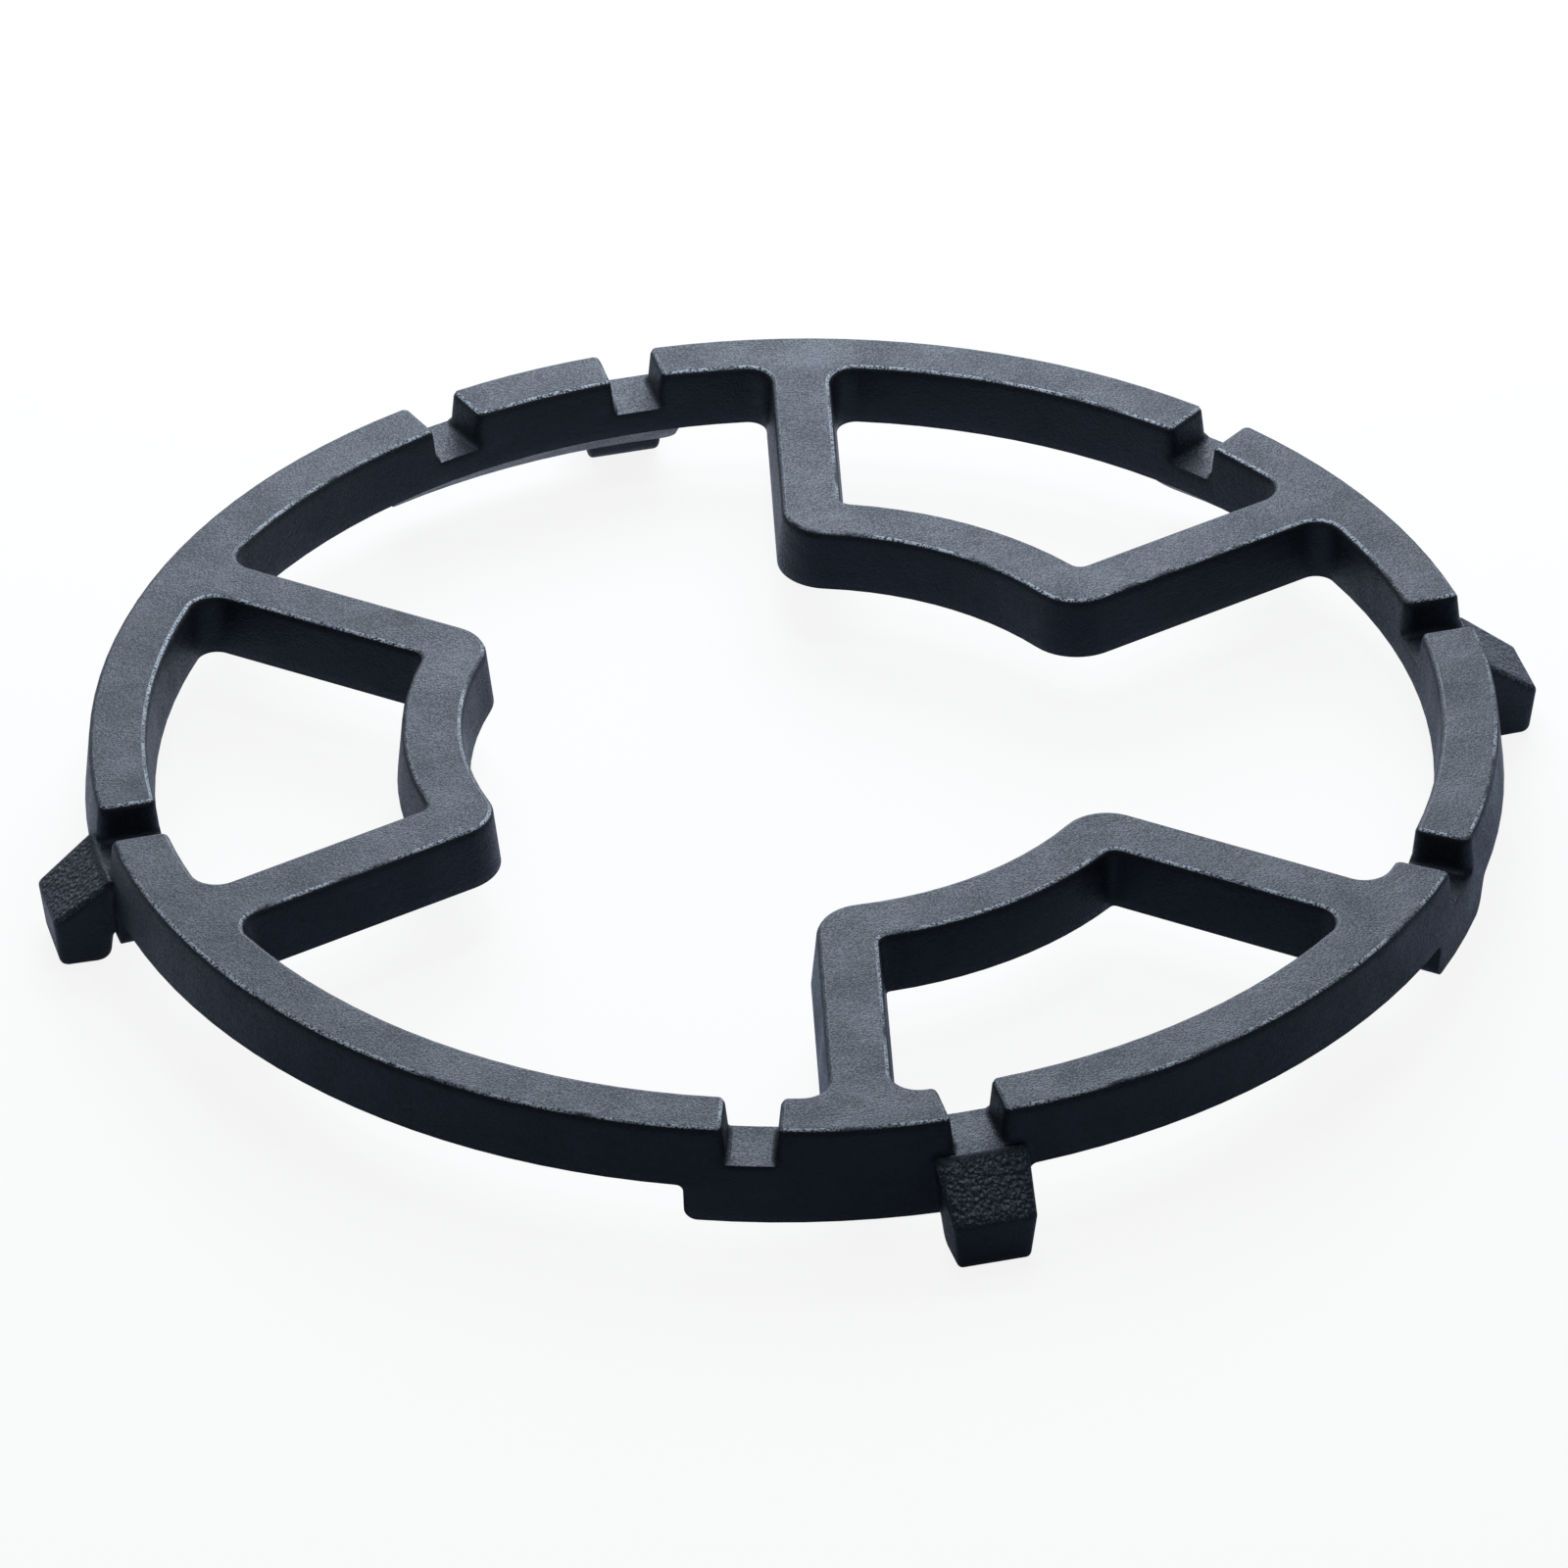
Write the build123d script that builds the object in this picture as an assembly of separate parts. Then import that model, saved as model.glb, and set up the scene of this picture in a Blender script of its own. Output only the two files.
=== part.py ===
from build123d import *
import math
import os

# One-piece cast-iron pan support for a gas hob, standing on its four lugs with the notches up.
# Millimetres and degrees. The origin is under the ring's centre, level with the lug feet.
# The ring and loops are drawn up from a parting plane at the ring's underside, so their walls
# lean in towards the top. Pads and lugs hang below that plane and narrow downwards.

# Ring, sized on its top face
ring_outer_radius = 118.0
ring_width = 9.5
ring_height = 10.7
wall_draft = 6.0

# Three inward loops, each of two legs and a curved bar
loop_count = 3
leg_width = 10.0
leg_splay = 30.0
leg_setback = 1.0
bar_mid_radius = 60.6
bar_width = 10.0
bar_end_radius = 8.0
bar_root_radius = 2.0
ring_root_radius = 4.5

# Notches across the ring for hobs with four or five fingers, sharing one at notch_turn
notch_turn = 180.0
few_fingers = 4
many_fingers = 5
notch_depth = 6.5
notch_floor_width = 7.8
notch_corner = 0.8
notch_end_radius = 1.3

# Pads that thicken the ring under its notches
pad_drop = 7.2
pad_half_span = 10.8
pad_foot_width = 2.6
pad_inner_step = 0.8
pad_end_radius = 2.2
pad_flare_radius = 1.2
pad_merging_distance = 50.0

# Lugs outside the notches of the four-finger hob
lug_root_width = 16.4
lug_end_width = 15.4
lug_ledge = 1.2
lug_reach = 10.6
lug_slope_drop = 7.3
lug_foot_drop = 12.4
lug_foot_length = 9.5
lug_corner_radius = 1.2
lug_foot_radius = 1.6
lug_heel_radius = 2.4

# Rounded edges, along the top drawn as flat strips to keep the mesh light
edge_radius = 0.9
edge_strips = 2

# Levels and radii that follow from the sizes above
underside = lug_foot_drop
top = underside + ring_height
notch_floor = top - notch_depth
pad_level = underside - pad_drop
lean = math.tan(math.radians(wall_draft))
wall_spread = ring_height * lean
ring_inner_radius = ring_outer_radius - ring_width
ring_mid_radius = ring_outer_radius - ring_width / 2
bar_inner_radius = bar_mid_radius - bar_width / 2
bar_outer_radius = bar_mid_radius + bar_width / 2
# One loop stands midway between two notches of the five-finger hob
loop_turn = notch_turn + 1.5 * 360 / many_fingers
# How far cutters run past what they cut, how far they stay off walls, and how close counts as touching
clearance = 1.0
wall_gap = 0.04
near = 0.01


def turned(angle):
    return Rotation(0, 0, angle)


def radius_of(point):
    return math.hypot(point.X, point.Y)


def revolved(points, arc):
    # Closed section of (radius, height) points, swept evenly to both sides of the X axis
    section = Plane.XZ * Polygon(*points, align=None)
    return turned(-arc / 2) * revolve(section, axis=Axis.Z, revolution_arc=arc)


def rounded_polygon(points):
    # Closed outline through (x, y, corner radius) points
    outline = Polygon(*[(x, y) for x, y, _ in points], align=None)
    for x, y, radius in points:
        if radius > 0:
            outline = fillet(outline.vertices().sort_by_distance((x, y, 0))[0], radius)
    return outline


def between_legs(setback):
    # Wide wedge about the X axis, its sides parallel to the legs and setback inside their splay
    tip = setback / math.sin(math.radians(leg_splay))
    reach = 2 * ring_outer_radius
    across = reach * math.tan(math.radians(leg_splay))
    return Polygon((tip, 0), (tip + reach, across), (tip + reach, -across), align=None)


def loop_turns():
    return [loop_turn + index * 360 / loop_count for index in range(loop_count)]


def rounded_at(outline, radius, rounding):
    # Rounds the corners that stand at one distance from the centre
    corners = [corner for corner in outline.vertices() if abs(radius_of(corner) - radius) < near]
    return fillet(corners, rounding)


def window(growth):
    # Outline on the X axis between two legs, bar and ring, let out by growth on every side
    ring = ring_inner_radius + growth
    bar = bar_outer_radius - growth
    outline = (Circle(ring) - Circle(bar)) & between_legs(leg_setback + leg_width - growth)
    outline = rounded_at(outline, bar, bar_root_radius + growth)
    return rounded_at(outline, ring, ring_root_radius + growth)


def middle(growth):
    # Outline round the loops, let out by growth on every side
    ring = ring_inner_radius + growth
    bar = bar_inner_radius + growth
    loop = (Circle(ring_outer_radius) - Circle(bar)) & between_legs(leg_setback + growth)
    outline = Circle(ring)
    for turn in loop_turns():
        outline -= turned(turn) * loop
    outline = rounded_at(outline, bar, bar_end_radius - growth)
    return rounded_at(outline, ring, ring_root_radius + growth)


def edge_points():
    # Points round a top edge, as (distance in, distance down) from where wall and top would meet
    points = []
    for index in range(edge_strips + 1):
        angle = math.radians(90 * index / edge_strips)
        down = edge_radius * (1 - math.sin(angle))
        points.append((edge_radius * (1 - math.cos(angle)) - down * lean, down))
    return points


def edged(outline, lower_levels):
    # Cutter with a rounded top edge, ruled from one grown outline to the next, each at (growth, depth)
    levels = [*lower_levels, *edge_points(), (edge_radius, -clearance)]
    return loft([Pos(0, 0, top - depth) * outline(growth) for growth, depth in levels], ruled=True)


def opening(outline):
    # Drafted opening through the web
    depth = ring_height + clearance
    return edged(outline, [(-depth * lean, depth)])


def finger_angles(count):
    return [notch_turn + index * 360 / count for index in range(count)]


def notch_angles():
    # Both patterns start at notch_turn, and a shared place has one notch
    angles = finger_angles(few_fingers) + finger_angles(many_fingers)
    return sorted({round(angle, 6) for angle in angles})


def notch_outline(growth):
    # Gap across the ring on the X axis between two rounded ring ends, let out by growth on every side
    half_mouth = notch_floor_width / 2 + notch_depth * lean
    half_gap = half_mouth + growth
    outer = ring_outer_radius - growth + wall_gap
    inner = ring_inner_radius + growth - wall_gap
    length = ring_width + 2 * (notch_depth * lean + notch_corner + clearance)
    zone = Pos(ring_mid_radius, 0) * Rectangle(length, 2 * (half_mouth + notch_end_radius) + clearance)
    gap = Pos(ring_mid_radius, 0) * Rectangle(length, 2 * half_gap)
    ends = ((Circle(outer) - Circle(inner)) & zone) - gap
    corners = [corner for corner in ends.vertices() if abs(abs(corner.Y) - half_gap) < near]
    return zone - fillet(corners, notch_end_radius - growth)


def notch():
    # Trough with leaning walls, narrowed at its floor by a flat strip on each side
    above = notch_depth - notch_corner
    floor = (-notch_depth * lean - notch_corner, notch_depth)
    return edged(notch_outline, [floor, (-above * lean, above)])


def disc():
    # Drafted disc with its top edge rounded
    rim = [(ring_outer_radius - inward, top - down) for inward, down in edge_points()]
    return revolved([(0, underside), (ring_outer_radius + wall_spread, underside), *rim, (0, top)], 360)


def web():
    # Ring and loops with the notches across
    body = disc() - opening(middle)
    gap = opening(window)
    for turn in loop_turns():
        body -= turned(turn) * gap
    trough = notch()
    for angle in notch_angles():
        body -= turned(angle) * trough
    return body


def pad_end():
    # Room for a pad on the -Y side of its end at the X axis, flared into the underside and rounded below
    back = -2 * ring_outer_radius
    outline = rounded_polygon(
        [
            (back, pad_level, 0),
            (0, pad_level, pad_end_radius),
            (0, underside, pad_flare_radius),
            (2 * pad_flare_radius, underside, 0),
            (2 * pad_flare_radius, top, 0),
            (back, top, 0),
        ]
    )
    return extrude(Plane.YZ * outline, amount=2 * ring_outer_radius, both=True)


def pad(first, last):
    # Wedge hung under the ring from one angle to another, its foot near the outer wall
    outer = ring_outer_radius + wall_spread
    inner = ring_inner_radius - wall_spread + pad_inner_step
    foot_outer = outer - pad_drop * lean
    foot_inner = foot_outer - pad_foot_width
    seat = (ring_mid_radius, underside + ring_height / 4)
    foot = [(foot_inner, pad_level), (foot_outer, pad_level)]
    half_span = (last - first) / 2
    flare = math.degrees((pad_flare_radius - wall_gap) / ring_outer_radius)
    body = revolved([(outer, underside), seat, (inner, underside), *foot], 2 * (half_span + flare))
    end = turned(half_span) * pad_end()
    body = body & end & mirror(end, about=Plane.XZ)
    return turned((first + last) / 2) * body


def pad_spans():
    # Spans of the pads. Near neighbours share one, and it ends at its lug's flank.
    groups = []
    for angle in notch_angles():
        if groups and math.radians(angle - groups[-1][-1]) * ring_outer_radius < pad_merging_distance:
            groups[-1].append(angle)
        else:
            groups.append([angle])
    spans = []
    for group in groups:
        shared = len(group) > 1
        reaches = []
        for angle in (group[0], group[-1]):
            at_lug = min(abs(angle - lug_angle) for lug_angle in finger_angles(few_fingers)) < near
            reach = lug_root_width / 2 if shared and at_lug else pad_half_span
            reaches.append(math.degrees(reach / ring_outer_radius))
        spans.append((group[0] - reaches[0], group[-1] + reaches[1]))
    return spans


def lug():
    # Block along the X axis between leaning sides: a ledge level with the notch floor, a slope and a foot
    tip = ring_outer_radius + lug_reach
    narrowing = (lug_root_width - lug_end_width) / (tip - ring_mid_radius) / 2
    end = tip + clearance
    half_root = lug_root_width / 2
    half_end = half_root - narrowing * (end - ring_mid_radius)
    right = [(ring_mid_radius, -half_root), (end, -half_end)]
    left = [(along, -across) for along, across in reversed(right)]
    plan = Polygon(*right, *left, align=None)
    block = mirror(extrude(plan, amount=notch_floor + clearance, taper=wall_draft), about=Plane.XY)
    block = Pos(0, 0, notch_floor) * block
    slope_end = notch_floor - lug_slope_drop
    foot_start = tip - lug_foot_length
    profile = rounded_polygon(
        [
            (ring_mid_radius, notch_floor, 0),
            (ring_outer_radius + lug_ledge, notch_floor, lug_corner_radius),
            (tip, slope_end, lug_corner_radius),
            (tip - slope_end * lean, 0, lug_foot_radius),
            (foot_start, 0, lug_heel_radius),
            (foot_start - pad_level * lean, pad_level, lug_foot_radius),
            (ring_mid_radius, underside, 0),
        ]
    )
    body = block & extrude(Plane.XZ * profile, amount=lug_root_width, both=True)
    sides = [face for face in body.faces() if abs(face.normal_at().Y) > abs(face.normal_at().X)]
    edges = [edge for side in sides for edge in side.edges()]
    return fillet([edge for edge in edges if edge.bounding_box().max.X > ring_outer_radius], edge_radius)


support = web()
for first, last in pad_spans():
    support += pad(first, last)
for angle in finger_angles(few_fingers):
    support += turned(angle) * lug()

os.makedirs("parts", exist_ok=True)
export_step(support, "parts/pan_support.step")
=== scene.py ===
import math
import bmesh
import bpy
import numpy as np
from mathutils import Matrix, Vector


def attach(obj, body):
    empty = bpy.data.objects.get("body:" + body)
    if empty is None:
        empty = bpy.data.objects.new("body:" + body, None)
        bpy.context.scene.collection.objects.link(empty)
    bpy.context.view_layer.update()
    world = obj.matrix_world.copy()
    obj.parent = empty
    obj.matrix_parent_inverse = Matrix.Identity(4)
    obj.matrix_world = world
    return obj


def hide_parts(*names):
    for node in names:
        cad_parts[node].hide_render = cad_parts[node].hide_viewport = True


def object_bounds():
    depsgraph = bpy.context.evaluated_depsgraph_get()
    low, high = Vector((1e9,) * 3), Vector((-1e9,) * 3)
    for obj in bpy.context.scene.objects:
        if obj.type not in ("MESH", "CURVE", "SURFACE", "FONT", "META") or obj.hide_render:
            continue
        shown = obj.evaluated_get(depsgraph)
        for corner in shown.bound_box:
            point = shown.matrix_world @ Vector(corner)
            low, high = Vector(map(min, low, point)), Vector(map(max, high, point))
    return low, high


# Cast-iron pan support for a gas hob, in metres, standing on the floor on its four lugs.

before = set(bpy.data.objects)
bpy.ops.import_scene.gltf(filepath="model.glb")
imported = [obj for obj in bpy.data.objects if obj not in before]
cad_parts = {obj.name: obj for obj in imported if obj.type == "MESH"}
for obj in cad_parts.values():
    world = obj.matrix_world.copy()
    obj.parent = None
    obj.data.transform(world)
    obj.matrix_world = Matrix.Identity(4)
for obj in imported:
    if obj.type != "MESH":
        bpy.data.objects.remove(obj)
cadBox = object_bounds()
scene = bpy.context.scene
scene.view_settings.view_transform = "Standard"
mm = 0.001
print("frame loaded:", ", ".join(sorted(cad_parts)))


def linearColour(hexColour):
    # sRGB hex to linear: a straight part near black, a power above it
    srgb = np.array([int(hexColour[i:i + 2], 16) for i in (1, 3, 5)]) / 255
    linear = np.where(srgb <= 0.04045, srgb / 12.92, ((srgb + 0.055) / 1.055) ** 2.4)
    return (*linear.tolist(), 1.0)


def addNode(tree, kind, inputs=None, **settings):
    # one node: its settings, then each input gets a link from a socket or a value
    node = tree.nodes.new(kind)
    for name, value in settings.items():
        setattr(node, name, value)
    for socket, value in (inputs or {}).items():
        if isinstance(value, bpy.types.NodeSocket):
            tree.links.new(value, node.inputs[socket])
        else:
            node.inputs[socket].default_value = value
    return node


def newMaterial(name):
    material = bpy.data.materials.new(name)
    material.use_nodes = True
    material.node_tree.nodes.clear()
    return material, material.node_tree


def rayKinds(tree):
    # 1 for rays straight from the camera, and 1 for those that come by way of a shiny or clear surface
    path = addNode(tree, "ShaderNodeLightPath").outputs
    mirrored = addNode(tree, "ShaderNodeMath", {0: path["Is Glossy Ray"], 1: path["Is Transmission Ray"]},
                       operation="MAXIMUM")
    return path["Is Camera Ray"], mirrored.outputs["Value"]


# Sand-cast grey iron under a thin black stove enamel: dull, bluish black, fine sandy grain with
# a faint sparkle, paler on the top edges where they are rubbed and where a glint is painted, strongest to the
# front, pebbly on the slopes of the lugs.
enamel = {
    "dark": "#0e1013",
    "pale": "#1b1e22",
    "skin": "#2e3338",       # the coarse slopes
    # pale colour of the edge dots, which are wear with a painted glint on the edges facing the front, and of
    # the specks on the slopes
    "rubbedAndGlint": "#c6d0da",
    "sheen": "#d6e6ff",      # cold cast of the gloss
    "roughness": (0.34, 0.62),
    "specular": 0.34,
    "patch": 9.0 * mm,       # cloudy change of tone
    "grain": 0.38 * mm,      # sand grain, drawn about twice its size so that it shows
    "peel": 2.4 * mm,        # soft unevenness of the enamel
    "pebble": 0.8 * mm,      # coarse skin on the slopes outside the ring
    "detail": {"patch": 3.0, "grain": 1.0, "peel": 2.0},
    "patchShare": 0.5,       # of the patches in the clouding, beside the grain
    "pebbleBlend": 0.6,
    "grainHeight": 0.10 * mm,
    "peelHeight": 0.1 * mm,
    "pebbleHeight": 0.4 * mm,
    "wallEasing": 2.2 * mm,  # how far walls and slopes are eased towards their edges
    "easingSamples": 4,
    "backEdgeShare": 0.15,        # share of the pale edge dots left on edges that face the back; the rest, to the front, is painted glint
    # where each ramp starts and where it is full
    "ramps": {
        "offTop": (0.99, 0.94),               # these four: how far the surface faces up, 1 on a top
        "lip": (0.998, 0.98),
        "upper": (0.62, 0.76),
        "steep": (0.15, 0.4),
        "frontGlint": (0.1, -0.2),               # how far it faces the back; the painted glint on the edges is strongest to the front
        "outside": (119.5 * mm, 120.5 * mm),  # distance from the axis: only the lugs are out there
        "high": (20.0 * mm, 21.0 * mm),       # height: only the ring's top edges are up there
        "stretches": (0.32, 0.55),            # the patches
        "dots": (0.38, 0.56),                 # the grain, on edges and on slopes
        "specks": (0.5, 1.4),
        "mottled": (0.58, 0.92),              # patches and grain together, for tone and for gloss
        "gloss": (0.55, 0.95),
    },
}


def castIron():
    material, tree = newMaterial("enamelledCastIron")
    coords = addNode(tree, "ShaderNodeTexCoord").outputs
    place = coords["Object"]
    noise = {}
    for name, detail in enamel["detail"].items():
        cloud = addNode(tree, "ShaderNodeTexNoise",
                        {"Vector": place, "Scale": 1 / enamel[name], "Detail": detail})
        noise[name] = cloud.outputs["Fac"]
    pebble = addNode(tree, "ShaderNodeTexVoronoi",
                     {"Vector": place, "Scale": 1 / enamel["pebble"], "Smoothness": enamel["pebbleBlend"]},
                     feature="SMOOTH_F1")

    # what the ramps read: the way the surface faces, its distance from the axis, its height and the noises
    facing = addNode(tree, "ShaderNodeSeparateXYZ", {"Vector": coords["Normal"]}).outputs
    flat = addNode(tree, "ShaderNodeVectorMath", {0: place, 1: (1.0, 1.0, 0.0)}, operation="MULTIPLY")
    radius = addNode(tree, "ShaderNodeVectorMath", {0: flat.outputs["Vector"]}, operation="LENGTH")
    height = addNode(tree, "ShaderNodeSeparateXYZ", {"Vector": place}).outputs["Z"]
    cloudy = addNode(tree, "ShaderNodeMath", {0: noise["patch"], 1: enamel["patchShare"], 2: noise["grain"]},
                     operation="MULTIPLY_ADD").outputs["Value"]
    measures = {
        "offTop": facing["Z"], "lip": facing["Z"], "upper": facing["Z"], "steep": facing["Z"],
        "frontGlint": facing["Y"], "outside": radius.outputs["Value"], "high": height,
        "stretches": noise["patch"], "dots": noise["grain"], "specks": noise["grain"],
        "mottled": cloudy, "gloss": cloudy,
    }
    spans = {"frontGlint": (enamel["backEdgeShare"], 1.0), "gloss": enamel["roughness"]}
    ramps = {}
    for name, measure in measures.items():
        start, full = enamel["ramps"][name]
        low, high = spans.get(name, (0.0, 1.0))
        ramp = addNode(tree, "ShaderNodeMapRange", {"Value": measure, "From Min": start, "From Max": full,
                                                    "To Min": low, "To Max": high})
        ramps[name] = ramp.outputs["Result"]

    # slopes lie only outside the ring; the pale dots along stretches of the ring's rounded top edges are wear
    # with a painted glint, strongest on those to the front, and pale specks lie on the slopes
    products = {
        "slope": ("offTop", "steep", "outside"),
        "edgeWearAndGlint": ("lip", "upper", "high", "stretches", "frontGlint", "dots"),
        "slopeDots": ("slope", "specks"),
    }
    for name, (first, *others) in products.items():
        ramps[name] = ramps[first]
        for other in others:
            both = addNode(tree, "ShaderNodeMath", {0: ramps[name], 1: ramps[other]}, operation="MULTIPLY")
            ramps[name] = both.outputs["Value"]
    # the pale layer: worn top edges with a painted glint that is strongest to the front, and specks on the
    # slopes
    wearAndGlint = addNode(tree, "ShaderNodeMath", {0: ramps["edgeWearAndGlint"], 1: ramps["slopeDots"]}, operation="MAXIMUM")
    colour = linearColour(enamel["dark"])
    layers = {"pale": ramps["mottled"], "skin": ramps["slope"], "rubbedAndGlint": wearAndGlint.outputs["Value"]}
    for name, cover in layers.items():
        layer = addNode(tree, "ShaderNodeMix",
                        {"Factor": cover, "A": colour, "B": linearColour(enamel[name])}, data_type="RGBA")
        colour = layer.outputs["Result"]

    # tops stay flat up to their edges, walls are eased; then grain, peel and the pebbles of the slopes
    drawn = addNode(tree, "ShaderNodeNewGeometry").outputs["Normal"]
    easing = addNode(tree, "ShaderNodeBevel", {"Radius": enamel["wallEasing"]},
                     samples=enamel["easingSamples"]).outputs["Normal"]
    turn = addNode(tree, "ShaderNodeMix", {"Factor": ramps["offTop"], "A": drawn, "B": easing},
                   data_type="VECTOR")
    eased = addNode(tree, "ShaderNodeVectorMath", {0: turn.outputs["Result"]}, operation="NORMALIZE")
    normal = eased.outputs["Vector"]
    reliefs = {
        "grainHeight": (noise["grain"], 1.0),
        "peelHeight": (noise["peel"], 1.0),
        "pebbleHeight": (pebble.outputs["Distance"], ramps["slope"]),
    }
    for name, (relief, strength) in reliefs.items():
        bump = addNode(tree, "ShaderNodeBump", {"Height": relief, "Distance": enamel[name],
                                                "Strength": strength, "Normal": normal})
        normal = bump.outputs["Normal"]
    shader = addNode(tree, "ShaderNodeBsdfPrincipled", {
        "Base Color": colour, "Roughness": ramps["gloss"], "Specular IOR Level": enamel["specular"],
        "Specular Tint": linearColour(enamel["sheen"]), "Normal": normal})
    addNode(tree, "ShaderNodeOutputMaterial", {"Surface": shader.outputs["BSDF"]})
    return material


# The casting: the frame's own surface with its loose triangles joined, shaded smooth up to creases
casting = {
    "node": "pan_support",
    "slot": "cast_iron",
    "joinWithin": 0.001 * mm,
    "flatWithin": math.radians(0.05),
    "crease": math.radians(50),
    "faceWeight": 100,  # large faces rule the shading
}


def castPiece():
    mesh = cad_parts[casting["node"]].data.copy()
    mesh.name = "castSupport"
    work = bmesh.new()
    work.from_mesh(mesh)
    bmesh.ops.remove_doubles(work, verts=work.verts, dist=casting["joinWithin"])
    bmesh.ops.dissolve_limit(work, angle_limit=casting["flatWithin"], verts=work.verts, edges=work.edges)
    for face in work.faces:
        face.smooth = True
    for edge in work.edges:
        edge.smooth = len(edge.link_faces) == 2 and edge.calc_face_angle() < casting["crease"]
    work.to_mesh(mesh)
    work.free()
    mesh.materials.clear()
    mesh.materials.append(castIron())
    piece = bpy.data.objects.new("castSupport", mesh)
    scene.collection.objects.link(piece)
    weighted = piece.modifiers.new("evenShading", "WEIGHTED_NORMAL")
    weighted.keep_sharp = True
    weighted.weight = casting["faceWeight"]
    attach(piece, "root")
    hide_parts(casting["node"])
    print("casting:", len(mesh.vertices), "points,", len(mesh.polygons), "faces")


castPiece()

# Plain pale floor, seen white, that keeps a soft shadow
floorPaper = {
    "half": 6.0,             # metres from its middle to a side
    "colour": "#f4f4f4",
    "glow": 0.88,            # share of plain white in it, and the rest takes the shadow
    "bounce": "#55606e",     # grey to the light that it throws back
    "reflected": "#d3def2",  # cold white in reflections
    "nearGlow": 0.16,        # whiter there from near to far, towards the back soft box
    "farGlow": 1.0,
    "near": -50 * mm,
    "far": 90 * mm,
}


def studioFloor():
    corners = floorPaper["half"] * np.array([(-1, -1, 0), (1, -1, 0), (1, 1, 0), (-1, 1, 0)], float)
    mesh = bpy.data.meshes.new("floor")
    mesh.from_pydata(corners.tolist(), [], [(0, 1, 2, 3)])
    mesh.update()
    floor = bpy.data.objects.new("floor", mesh)
    scene.collection.objects.link(floor)
    material, tree = newMaterial("paperFloor")
    seen, mirrored = rayKinds(tree)
    cold = linearColour(floorPaper["reflected"])

    # in the picture: paper and plain white
    paper = addNode(tree, "ShaderNodeBsdfDiffuse", {"Color": linearColour(floorPaper["colour"])})
    white = addNode(tree, "ShaderNodeEmission", {"Color": linearColour("#ffffff"), "Strength": 1.0})
    shown = addNode(tree, "ShaderNodeMixShader",
                    {0: floorPaper["glow"], 1: paper.outputs[0], 2: white.outputs[0]})

    # in reflections: cold paper and a cold glow that grows towards the back
    place = addNode(tree, "ShaderNodeTexCoord").outputs["Object"]
    depth = addNode(tree, "ShaderNodeSeparateXYZ", {"Vector": place}).outputs["Y"]
    whiter = addNode(tree, "ShaderNodeMapRange", {
        "Value": depth, "From Min": floorPaper["near"], "From Max": floorPaper["far"],
        "To Min": floorPaper["nearGlow"], "To Max": floorPaper["farGlow"]}).outputs["Result"]
    coldPaper = addNode(tree, "ShaderNodeBsdfDiffuse", {"Color": cold})
    coldGlow = addNode(tree, "ShaderNodeEmission", {"Color": cold, "Strength": 1.0})
    sheet = addNode(tree, "ShaderNodeMixShader", {0: whiter, 1: coldPaper.outputs[0], 2: coldGlow.outputs[0]})

    # grey to all other rays, and clear from below
    bounce = addNode(tree, "ShaderNodeBsdfDiffuse", {"Color": linearColour(floorPaper["bounce"])})
    unseen = addNode(tree, "ShaderNodeMixShader", {0: mirrored, 1: bounce.outputs[0], 2: sheet.outputs[0]})
    top = addNode(tree, "ShaderNodeMixShader", {0: seen, 1: unseen.outputs[0], 2: shown.outputs[0]})
    under = addNode(tree, "ShaderNodeBsdfTransparent")
    below = addNode(tree, "ShaderNodeNewGeometry").outputs["Backfacing"]
    surface = addNode(tree, "ShaderNodeMixShader", {0: below, 1: top.outputs[0], 2: under.outputs[0]})
    addNode(tree, "ShaderNodeOutputMaterial", {"Surface": surface.outputs[0]})
    mesh.materials.append(material)


studioFloor()
print("floor laid")

# Soft boxes aimed at the floor under the ring's middle: azimuth from the front, elevation, distance, side
# and watts. The world's strengths are what the camera sees, what the piece mirrors and the fill light.
lighting = {
    "tint": "#edf5ff",
    "boxes": {
        "back": {"azimuth": 166, "elevation": 42, "distance": 0.75, "side": 0.8, "watts": 8.0},
        "low": {"azimuth": 166, "elevation": 24, "distance": 0.5, "side": 0.25, "watts": 0.6},
        "overhead": {"azimuth": -14, "elevation": 88, "distance": 0.5, "side": 0.12, "watts": 0.5},
    },
    "seen": 1.0,
    "mirrored": 0.1,
    "fill": 0.06,
}


def direction(azimuth, elevation):
    # unit vector towards a viewer: azimuth 0 stands in front, on the -Y side
    across, up = math.radians(azimuth), math.radians(elevation)
    return Vector((math.sin(across) * math.cos(up), -math.cos(across) * math.cos(up), math.sin(up)))


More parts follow.
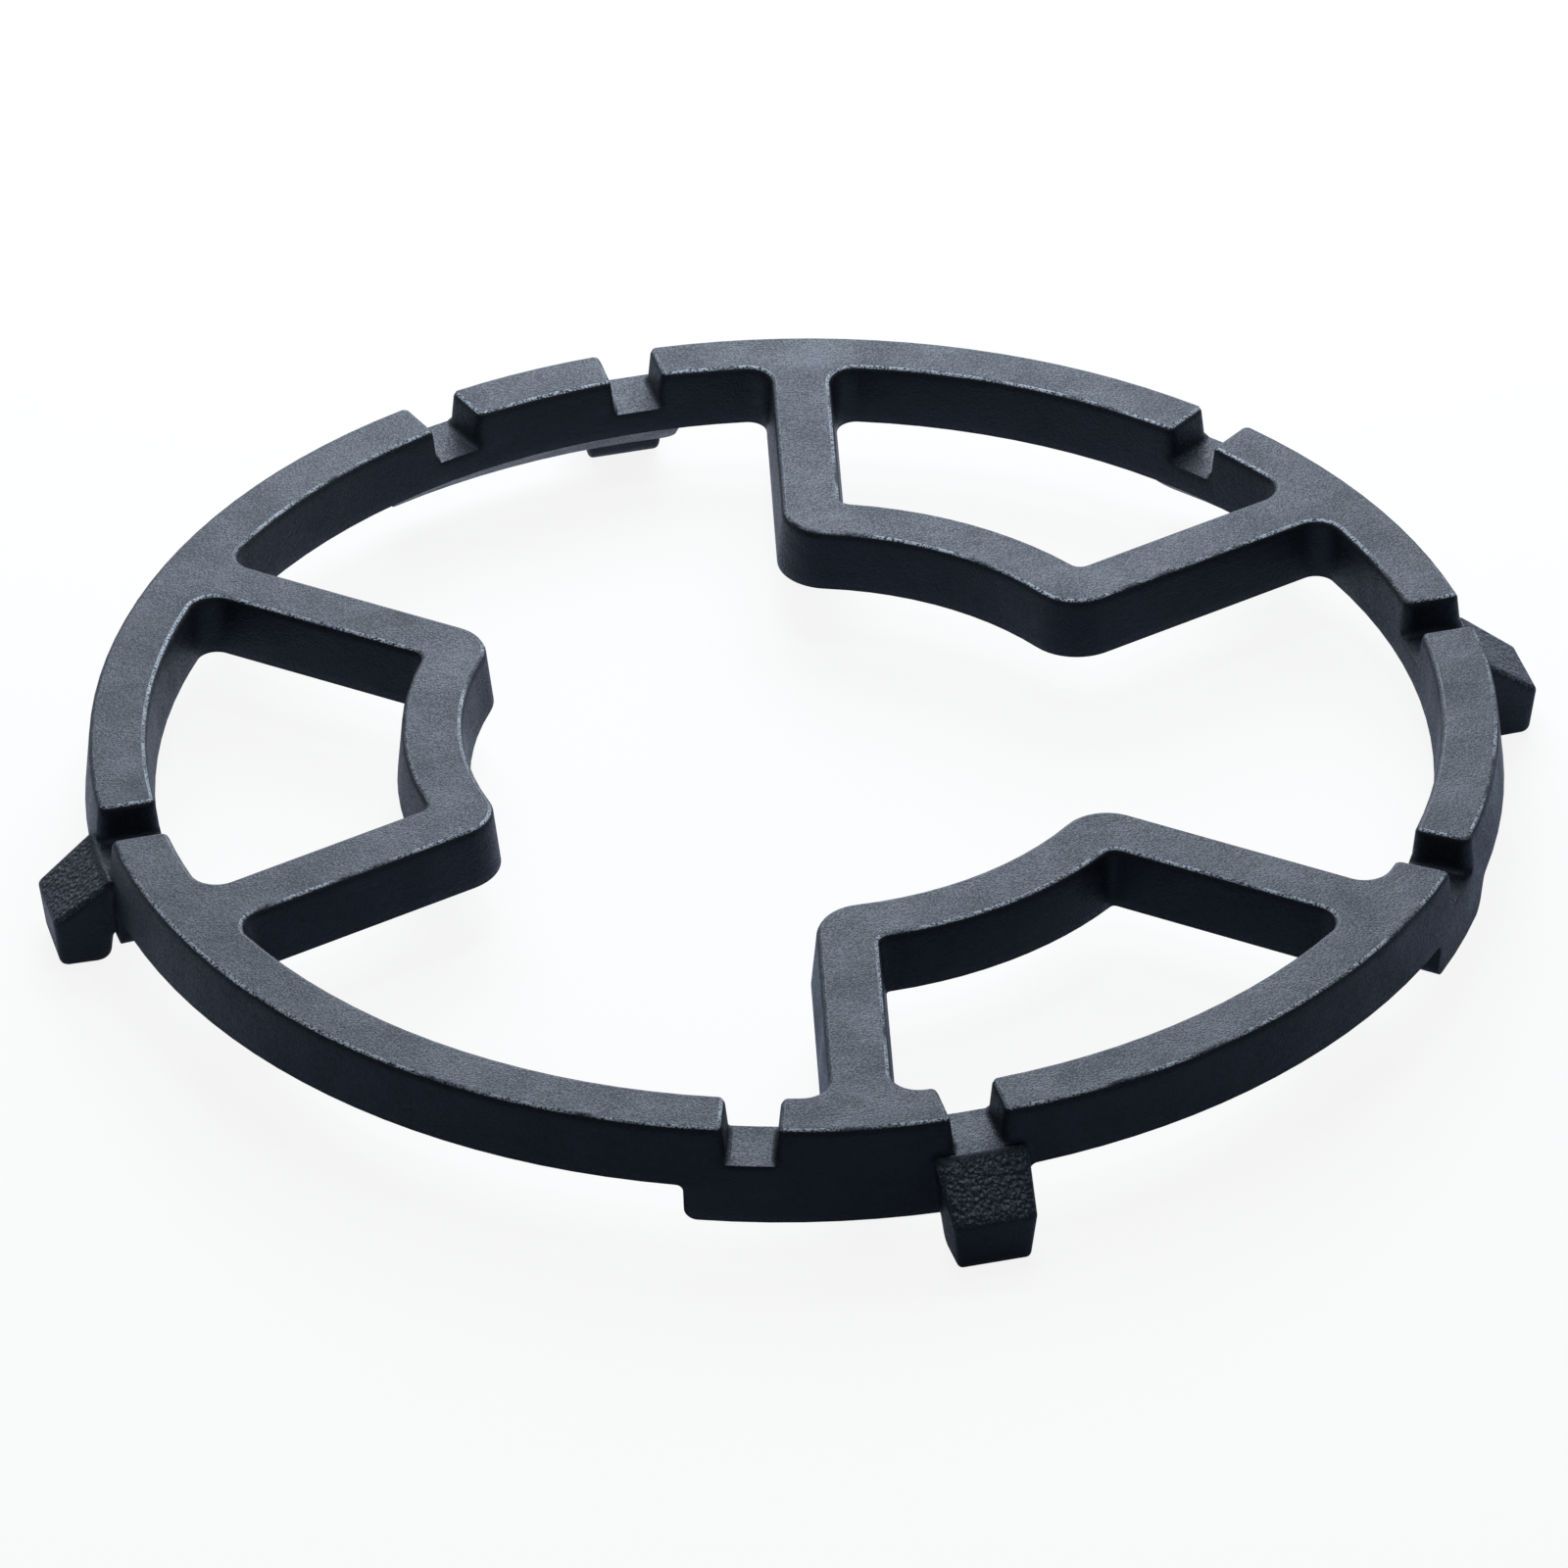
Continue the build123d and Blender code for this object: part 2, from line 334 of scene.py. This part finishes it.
def studioLight():
    for name, box in lighting["boxes"].items():
        lamp = bpy.data.lights.new(name, "AREA")
        lamp.shape = "SQUARE"
        lamp.size = box["side"]
        lamp.energy = box["watts"]
        lamp.color = linearColour(lighting["tint"])[:3]
        holder = bpy.data.objects.new(name, lamp)
        outward = direction(box["azimuth"], box["elevation"])
        holder.location = outward * box["distance"]
        holder.rotation_euler = (-outward).to_track_quat("-Z", "Y").to_euler()
        scene.collection.objects.link(holder)
    world = scene.world or bpy.data.worlds.new("studio")
    scene.world = world
    world.use_nodes = True
    tree = world.node_tree
    tree.nodes.clear()
    seen, mirrored = rayKinds(tree)
    unseen = addNode(tree, "ShaderNodeMapRange", {"Value": mirrored, "To Min": lighting["fill"],
                                                  "To Max": lighting["mirrored"]})
    strength = addNode(tree, "ShaderNodeMapRange", {"Value": seen, "To Min": unseen.outputs["Result"],
                                                    "To Max": lighting["seen"]})
    sky = addNode(tree, "ShaderNodeBackground", {"Color": linearColour("#ffffff"),
                                                 "Strength": strength.outputs["Result"]})
    addNode(tree, "ShaderNodeOutputWorld", {"Surface": sky.outputs["Background"]})


studioLight()
print("lights set:", ", ".join(lighting["boxes"]))

# Long lens, looking at the ring's top centre, which stands a little off the middle of the picture
viewer = {
    "lens": 290.2,
    "sensor": 36.0,
    "clip": (0.1, 30.0),
    "distance": 2.118,
    "azimuth": -14.06,
    "elevation": 34.27,
    "roll": 0.98,
    "right": 1.58 * mm,
    "up": 11.46 * mm,
}


def lookFrom(stand, target):
    # the camera's turn: its -Z axis at the target, its Y axis up, then the roll about its own axis
    level = (target - stand).to_track_quat("-Z", "Y").to_matrix()
    return level @ Matrix.Rotation(math.radians(-viewer["roll"]), 3, "Z")


def photoCamera():
    data = bpy.data.cameras.new("viewer")
    data.lens = viewer["lens"]
    data.sensor_width = viewer["sensor"]
    data.sensor_fit = "HORIZONTAL"
    data.clip_start, data.clip_end = viewer["clip"]
    camera = bpy.data.objects.new("viewer", data)
    scene.collection.objects.link(camera)
    target = Vector((0.0, 0.0, cadBox[1].z))
    stand = target + direction(viewer["azimuth"], viewer["elevation"]) * viewer["distance"]
    turn = lookFrom(stand, target)
    aim = target - turn.col[0] * viewer["right"] - turn.col[1] * viewer["up"]
    camera.matrix_world = Matrix.Translation(stand) @ lookFrom(stand, aim).to_4x4()
    scene.camera = camera


photoCamera()
print("camera placed")
